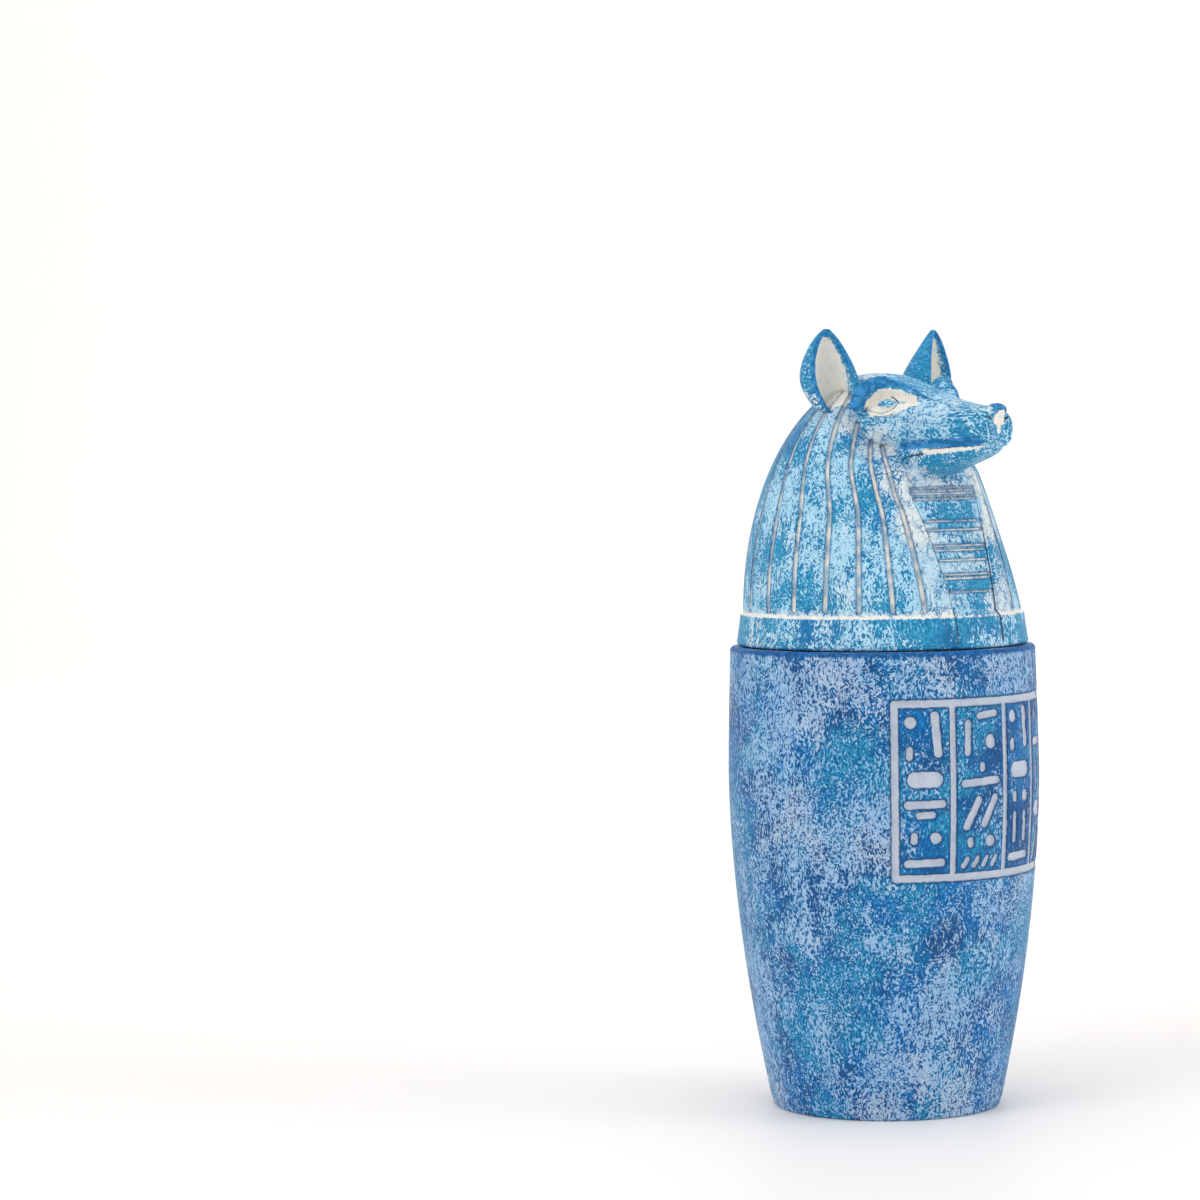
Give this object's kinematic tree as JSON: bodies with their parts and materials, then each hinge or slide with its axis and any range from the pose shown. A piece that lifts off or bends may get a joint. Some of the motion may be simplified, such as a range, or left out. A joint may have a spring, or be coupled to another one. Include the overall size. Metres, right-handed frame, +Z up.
{
  "type": "canopic jar",
  "caption": "Jackal-headed canopic jar souvenir: a hollow tapering jar with a carved panel, and a lift-off lid with a striped wig and a long-muzzled head.",
  "frame": {"origin": "centre of the jar's underside, on the surface that it stands on", "axes": "+Z up along the jar's axis; the head looks towards -Y; +X is the head's own left"},
  "size_m": [0.072, 0.0761, 0.18],
  "materials": {
    "jar_body": "matte blue paint with a rubbed pale wash, on cast stone resin",
    "jackal_lid": "matte blue paint with a rubbed pale wash, on cast stone resin"
  },
  "bodies": {
    "root": {"jar_body": "jar_body", "jackal_lid": "jackal_lid"}
  },
  "joints": []
}
